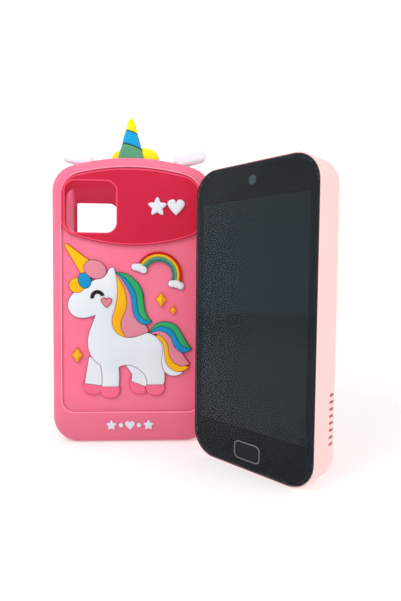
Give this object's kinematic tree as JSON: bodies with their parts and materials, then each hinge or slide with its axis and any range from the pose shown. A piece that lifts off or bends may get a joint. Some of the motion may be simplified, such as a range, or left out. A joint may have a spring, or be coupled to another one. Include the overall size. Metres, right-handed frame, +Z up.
{
  "type": "toy cell phone",
  "caption": "Child's toy cell phone with a black glass front, home key, side keys and speaker slots, standing beside its soft unicorn case.",
  "frame": {"origin": "middle of the phone's foot, where it stands on the surface", "axes": "+Z up; -Y is the way the case's decorated side faces; +X to the right seen from the decorated side"},
  "size_m": [0.1128, 0.0715, 0.1478],
  "materials": {
    "pale_pink_abs": "satin moulded plastic, lightly textured",
    "cover_glass": "polished clear glass",
    "black_print": "black screen print",
    "black_tape": "foam tape",
    "display": "unlit display",
    "ribbon_amber": "polyimide film",
    "board_green": "solder mask",
    "tin": "tinned steel",
    "chip_black": "epoxy",
    "connector_ivory": "nylon",
    "battery_foil": "satin foil pouch",
    "lead_red": "insulated wire",
    "mesh_crimson": "woven dust mesh",
    "speaker_black": "moulded box",
    "lens_block": "camera housing",
    "lens_glass": "coated lens",
    "ring_metal": "satin metal",
    "key_black": "gloss black",
    "screw_steel": "steel",
    "card_black": "memory card",
    "silicone_pink": "soft matte silicone",
    "silicone_crimson": "soft matte silicone",
    "silicone_white": "soft matte silicone",
    "silicone_pearl": "soft matte silicone",
    "silicone_yellow": "soft matte silicone",
    "silicone_lemon": "soft matte silicone",
    "silicone_blue": "soft matte silicone",
    "silicone_sky": "soft matte silicone",
    "silicone_green": "soft matte silicone",
    "silicone_sage": "soft matte silicone",
    "silicone_teal": "soft matte silicone",
    "silicone_red": "soft matte silicone",
    "silicone_rose": "soft matte silicone",
    "silicone_hoof": "soft matte silicone",
    "silicone_black": "soft matte silicone"
  },
  "bodies": {
    "phone": {"rear_shell": "pale_pink_abs", "front_frame": "pale_pink_abs", "cover_glass": "cover_glass", "glass_tape": "black_tape", "screen_mask": "black_print", "display_panel": "display", "display_ribbon": "ribbon_amber", "front_camera": "lens_block", "home_ring": "ring_metal", "home_switch": "chip_black", "main_board": "board_green", "processor_shield": "tin", "board_chips": "chip_black", "board_connectors": "connector_ivory", "microphone": "tin", "battery": "battery_foil", "battery_leads": "lead_red", "speaker": "speaker_black", "speaker_mesh": "mesh_crimson", "usb_socket": "tin", "card_socket": "tin", "side_switches": "chip_black", "side_key_board": "board_green", "rear_camera_island": "key_black", "rear_camera_windows": "lens_glass", "rear_camera_module": "lens_block", "rear_screws": "screw_steel"},
    "case": {"case_shell": "silicone_pink", "camera_panel": "silicone_crimson", "unicorn_body": "silicone_white", "unicorn_horn": "silicone_yellow", "unicorn_far_legs": "silicone_white", "unicorn_hooves": "silicone_hoof", "unicorn_eye": "silicone_black", "unicorn_cheek": "silicone_rose", "green_locks": "silicone_green", "blue_locks": "silicone_blue", "pink_locks": "silicone_rose", "yellow_locks": "silicone_yellow", "white_lock": "silicone_white", "rainbow_clouds": "silicone_white", "rainbow_blue": "silicone_teal", "rainbow_green": "silicone_sage", "rainbow_yellow": "silicone_yellow", "rainbow_red": "silicone_red", "sparkles": "silicone_yellow", "panel_shapes": "silicone_white", "foot_shapes": "silicone_white", "horn_green_band": "silicone_sage", "horn_blue_band": "silicone_sky", "horn_yellow_tip": "silicone_lemon", "ears": "silicone_pearl", "hair_tufts": "silicone_lemon"},
    "home_button": {"home_button": "key_black"},
    "power_button": {"power_button": "pale_pink_abs"},
    "volume_up_button": {"volume_up_button": "pale_pink_abs"},
    "volume_down_button": {"volume_down_button": "pale_pink_abs"},
    "memory_card": {"memory_card": "card_black"}
  },
  "joints": [
    {"name": "home_press", "type": "slide", "parent": "phone", "child": "home_button", "axis": [0.7266, 0.6871, 0], "range_m": [0, 0.0004], "stiffness_N_per_m": 400},
    {"name": "power_press", "type": "slide", "parent": "phone", "child": "power_button", "axis": [0.6871, -0.7266, 0], "range_m": [0, 0.0004], "stiffness_N_per_m": 400},
    {"name": "volume_up_press", "type": "slide", "parent": "phone", "child": "volume_up_button", "axis": [0.6871, -0.7266, 0], "range_m": [0, 0.0004], "stiffness_N_per_m": 400},
    {"name": "volume_down_press", "type": "slide", "parent": "phone", "child": "volume_down_button", "axis": [0.6871, -0.7266, 0], "range_m": [0, 0.0004], "stiffness_N_per_m": 400},
    {"name": "card_slide", "type": "slide", "parent": "phone", "child": "memory_card", "axis": [0, 0, 1], "range_m": [0, 0.014]},
    {"name": "case_lift_off", "type": "slide", "parent": "phone", "child": "case", "axis": [-1, 0, 0], "range_m": [0, 0.06]}
  ]
}
